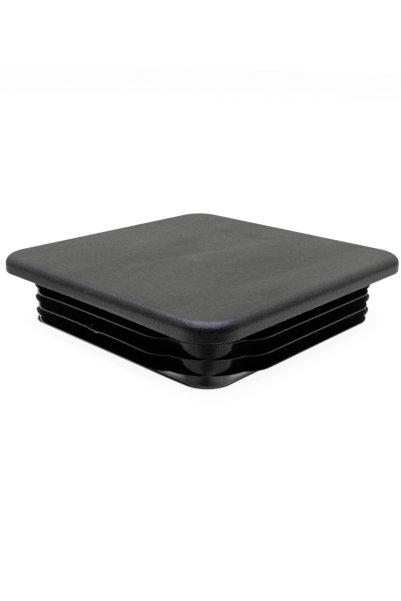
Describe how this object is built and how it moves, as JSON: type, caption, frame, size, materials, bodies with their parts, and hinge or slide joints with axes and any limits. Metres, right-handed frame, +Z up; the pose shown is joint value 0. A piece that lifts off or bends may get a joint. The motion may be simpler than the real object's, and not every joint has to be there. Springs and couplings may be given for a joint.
{
  "type": "tube end cap",
  "caption": "Square push-in end cap with a rounded flat head over a hollow skirt, whose thin fins grip the inside of a box tube.",
  "frame": {"origin": "centre of the skirt's rim, on the surface that the cap stands on", "axes": "+Z up through the centre of the head, which is also the way the cap is pulled out of its tube; X and Y run square to the head's sides"},
  "size_m": [0.1, 0.1, 0.0226],
  "materials": {
    "black_plastic": "fine spark-eroded texture on the head, smooth and glossy on the skirt and fins"
  },
  "bodies": {
    "root": {"end_cap": "black_plastic"}
  },
  "joints": []
}
